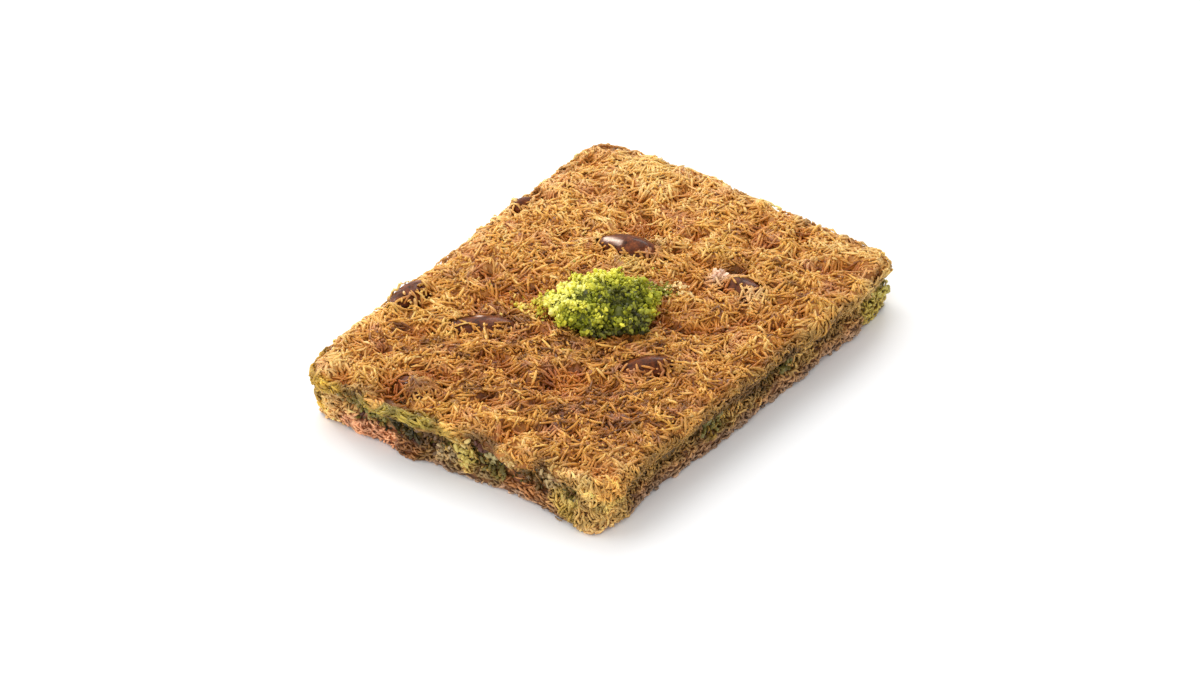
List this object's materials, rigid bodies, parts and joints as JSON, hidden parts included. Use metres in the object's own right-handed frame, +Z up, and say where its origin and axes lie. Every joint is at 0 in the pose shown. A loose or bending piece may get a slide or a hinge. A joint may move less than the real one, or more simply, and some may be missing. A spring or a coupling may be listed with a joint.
{
  "type": "kadaif slice",
  "caption": "Low rectangular slice of shredded pastry over chopped pistachio, with whole kernels sunk in its top and a mound of ground pistachio in the middle.",
  "frame": {"origin": "under the middle of the slice's bounds, on the flat base that it rests on", "axes": "+X along the slice's long side, +Y across it towards the side with two kernels at its edge, +Z up from the base to the mound"},
  "size_m": [0.1162, 0.0854, 0.0218],
  "materials": {
    "baked_pastry": "golden-brown baked pastry shreds with a thin syrup sheen",
    "syrup_pastry": "reddish-brown pastry shreds soaked in syrup, glossy",
    "chopped_pistachio": "olive and dark green chopped nut with brown skins, moist",
    "ground_pistachio": "bright yellow-green ground nut, matte",
    "kernel_skin": "dark reddish-brown nut skin, wet with syrup"
  },
  "bodies": {
    "root": {"bottom_pastry": "syrup_pastry", "filling": "chopped_pistachio", "top_pastry": "baked_pastry", "pistachio_mound": "ground_pistachio", "kernel_1": "kernel_skin", "kernel_2": "kernel_skin", "kernel_3": "kernel_skin", "kernel_4": "kernel_skin", "kernel_5": "kernel_skin", "kernel_6": "kernel_skin", "kernel_7": "kernel_skin"}
  },
  "joints": []
}
